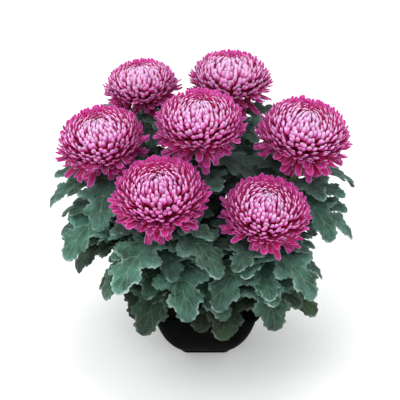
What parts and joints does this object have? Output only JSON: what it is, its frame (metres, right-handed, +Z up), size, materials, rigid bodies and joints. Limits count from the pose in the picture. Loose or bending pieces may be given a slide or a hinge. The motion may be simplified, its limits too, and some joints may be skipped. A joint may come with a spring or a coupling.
{
  "type": "pot chrysanthemum",
  "caption": "Potted chrysanthemum with large incurved globe blooms over lobed leaves in a square rounded bowl.",
  "frame": {"origin": "middle of the bowl's flat base, on the surface that it stands on", "axes": "+Z up; -Y towards the side that the blooms lean to, which is the picture's viewpoint; +X to the right as seen from there"},
  "size_m": [0.418, 0.371, 0.4018],
  "materials": {
    "pot_plastic": "satin black",
    "soil": "rough peat and bark mix",
    "foliage": "grey-green, slightly downy",
    "petals": "soft, magenta inside and pale pink outside"
  },
  "bodies": {
    "root": {"pot": "pot_plastic", "soil": "soil", "leafy_stem_centre": "foliage", "leafy_stem_left": "foliage", "leafy_stem_right": "foliage", "leafy_stem_back_left": "foliage", "leafy_stem_back": "foliage", "leafy_stem_front_left": "foliage", "leafy_stem_front_right": "foliage", "bloom_centre": "petals", "bloom_left": "petals", "bloom_right": "petals", "bloom_back_left": "petals", "bloom_back": "petals", "bloom_front_left": "petals", "bloom_front_right": "petals"}
  },
  "joints": []
}
